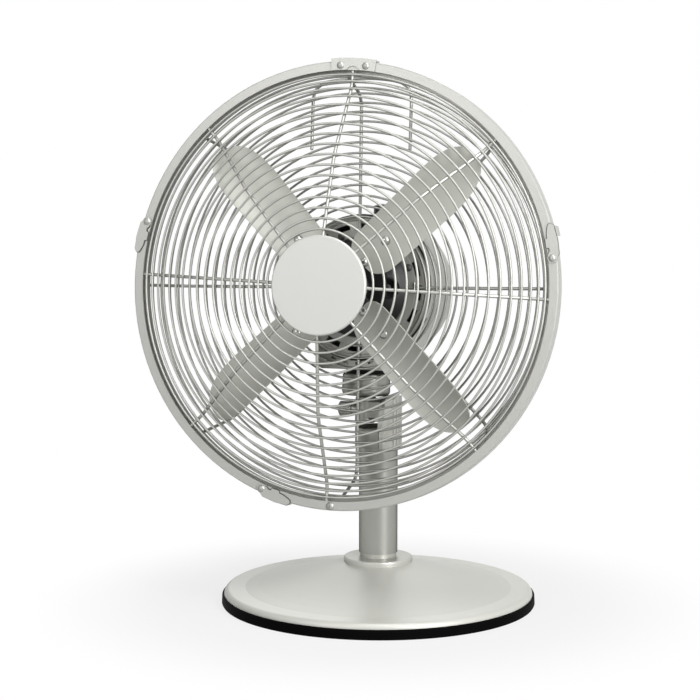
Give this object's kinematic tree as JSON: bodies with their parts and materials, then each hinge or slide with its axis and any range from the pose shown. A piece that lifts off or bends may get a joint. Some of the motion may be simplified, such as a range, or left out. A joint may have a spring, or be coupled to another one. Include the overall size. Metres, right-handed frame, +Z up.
{
  "type": "desk fan",
  "caption": "Metal desk fan: round weighted base, short pole with side-hinged tilting neck, oscillating motor head and a blade wheel inside a clipped wire cage.",
  "frame": {"origin": "on the floor at the pole's axis, the middle of the base's underside", "axes": "+Z up, the fan faces -Y, +X to the viewer's right from the front"},
  "size_m": [0.3586, 0.2608, 0.4459],
  "materials": {
    "skirt": "satin",
    "satin_steel": "satin",
    "chrome": "polished",
    "dark_steel": "matte",
    "black_rubber": "matte",
    "neck_paint": "satin",
    "neck_trim": "satin",
    "bright_steel": "satin",
    "motor_paint": "satin",
    "motor_face": "satin",
    "core_steel": "matte",
    "copper": "matte",
    "bronze": "satin",
    "black_plastic": "satin",
    "blade_metal": "satin",
    "rear_wire": "polished",
    "front_wire": "polished",
    "ring_metal": "polished",
    "badge_paint": "satin"
  },
  "bodies": {
    "stand": {"base_skirt": "skirt", "base_cover": "satin_steel", "ballast_disc": "dark_steel", "base_washer": "dark_steel", "base_nut": "dark_steel", "tie_rod": "dark_steel", "cord_grommet": "black_rubber", "foot_collar": "chrome", "pole": "chrome", "neck_bracket": "neck_paint", "neck_cover": "neck_trim"},
    "tilt_arm": {"tilt_barrel": "neck_paint", "swivel_pin": "bright_steel", "friction_washer": "black_rubber"},
    "tilt_screw": {"tilt_knob": "neck_paint", "tilt_bolt": "bright_steel"},
    "head": {"turret": "neck_paint", "turret_seal": "black_rubber", "motor_front": "motor_face", "motor_rear": "motor_paint", "motor_saddle": "neck_paint", "stator_core": "core_steel", "stator_windings": "copper", "front_bush": "bronze", "rear_bush": "bronze", "gearbox": "black_plastic", "speed_switch": "black_plastic", "rear_plate": "motor_face", "rear_plate_screws": "bright_steel", "rear_grille": "rear_wire", "rear_rim": "ring_metal", "front_rim": "ring_metal", "front_grille": "front_wire", "badge": "badge_paint", "badge_plate": "badge_paint", "top_bracket": "ring_metal", "bracket_rivets": "bright_steel", "clip_rivets": "bright_steel", "ring_screw": "bright_steel"},
    "rotor": {"rotor_core": "core_steel", "motor_shaft": "bright_steel", "fan_hub": "motor_face", "blade_1": "blade_metal", "blade_2": "blade_metal", "blade_3": "blade_metal", "blade_4": "blade_metal", "blade_rivets": "bright_steel", "hub_screw": "bright_steel"},
    "speed_knob": {"speed_knob": "black_plastic"},
    "swing_knob": {"swing_knob": "black_plastic"},
    "clip_right": {"clip_right": "ring_metal"},
    "clip_left": {"clip_left": "ring_metal"},
    "clip_bottom": {"clip_bottom": "ring_metal"}
  },
  "joints": [
    {"name": "head_tilt", "type": "hinge", "parent": "stand", "child": "tilt_arm", "pos_m": [-0.0112, 0, 0.1604], "axis": [-1, 0, 0], "range_deg": [-5, 8]},
    {"name": "swing", "type": "hinge", "parent": "tilt_arm", "child": "head", "pos_m": [-0.0112, 0.00174, 0.18032], "axis": [0, 0.0872, 0.9962], "range_deg": [-28, 28]},
    {"name": "spin", "type": "hinge", "parent": "head", "child": "rotor", "pos_m": [-0.0112, 0.00874, 0.26032], "axis": [0, -0.9962, 0.0872], "continuous": true},
    {"name": "tilt_screw_turn", "type": "hinge", "parent": "stand", "child": "tilt_screw", "pos_m": [-0.0224, 0, 0.1604], "axis": [-1, 0, 0], "range_deg": [0, 90]},
    {"name": "speed_turn", "type": "hinge", "parent": "head", "child": "speed_knob", "pos_m": [-0.0352, 0.05962, 0.23378], "axis": [0, 0.9962, -0.0872], "range_deg": [0, 135]},
    {"name": "swing_knob_pull", "type": "slide", "parent": "head", "child": "swing_knob", "axis": [0, 0.0872, 0.9962], "range_m": [0, 0.008]},
    {"name": "clip_right_turn", "type": "hinge", "parent": "head", "child": "clip_right", "pos_m": [0.16069, -0.06433, 0.2925], "axis": [0, 0.9962, -0.0872], "range_deg": [0, 40]},
    {"name": "clip_left_turn", "type": "hinge", "parent": "head", "child": "clip_left", "pos_m": [-0.17797, -0.06231, 0.31565], "axis": [0, 0.9962, -0.0872], "range_deg": [0, 40]},
    {"name": "clip_bottom_turn", "type": "hinge", "parent": "head", "child": "clip_bottom", "pos_m": [-0.07121, -0.08079, 0.10442], "axis": [0, 0.9962, -0.0872], "range_deg": [0, 40]}
  ]
}
